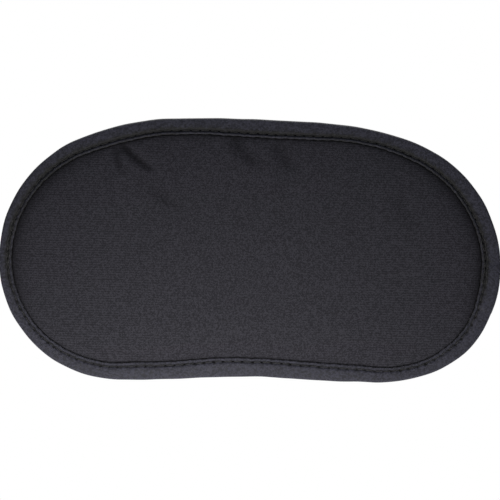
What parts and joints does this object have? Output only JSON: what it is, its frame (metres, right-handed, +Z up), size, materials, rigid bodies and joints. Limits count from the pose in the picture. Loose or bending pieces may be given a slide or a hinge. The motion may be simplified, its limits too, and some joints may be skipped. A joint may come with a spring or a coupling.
{
  "type": "sleep mask",
  "caption": "Padded sleep mask with a stitched tape binding, a shallow nose arch and a sewn elastic head strap that swings and stretches.",
  "frame": {"origin": "centre of the flat of the back lining, which rests on the wearer's face", "axes": "+Z up as worn, +X to the right seen from the front along the mask's width, +Y from the mask towards the wearer's head; the front faces -Y"},
  "size_m": [0.185, 0.114, 0.0967],
  "materials": {
    "panel_fabric": "matte, fine horizontal ribs",
    "lining_fabric": "soft matte plain weave",
    "foam": "open-cell foam",
    "binding_tape": "smooth diagonal weave with a slight sheen",
    "thread": "twisted polyester sewing thread",
    "elastic": "knitted elastic with lengthwise ribs"
  },
  "bodies": {
    "mask": {"front_panel": "panel_fabric", "foam_pad": "foam", "back_lining": "lining_fabric", "edge_binding": "binding_tape", "needle_thread": "thread", "bobbin_thread": "thread", "strap_end_right": "elastic", "strap_end_left": "elastic", "strap_tack_right": "thread", "strap_tack_left": "thread"},
    "strap_sides": {"strap_arm_right": "elastic", "strap_arm_left": "elastic"},
    "strap_back": {"strap_rear": "elastic"}
  },
  "joints": [
    {"name": "strap_swing", "type": "hinge", "parent": "mask", "child": "strap_sides", "pos_m": [0, -0.0007, 0], "axis": [1, 0, 0], "range_deg": [-60, 60], "stiffness_Nm_per_rad": 0.02, "deforming": ["strap_arm_right", "strap_arm_left"]},
    {"name": "strap_stretch", "type": "slide", "parent": "strap_sides", "child": "strap_back", "axis": [0, 1, 0], "range_m": [0, 0.06], "stiffness_N_per_m": 100, "deforming": ["strap_arm_right", "strap_arm_left"]}
  ]
}
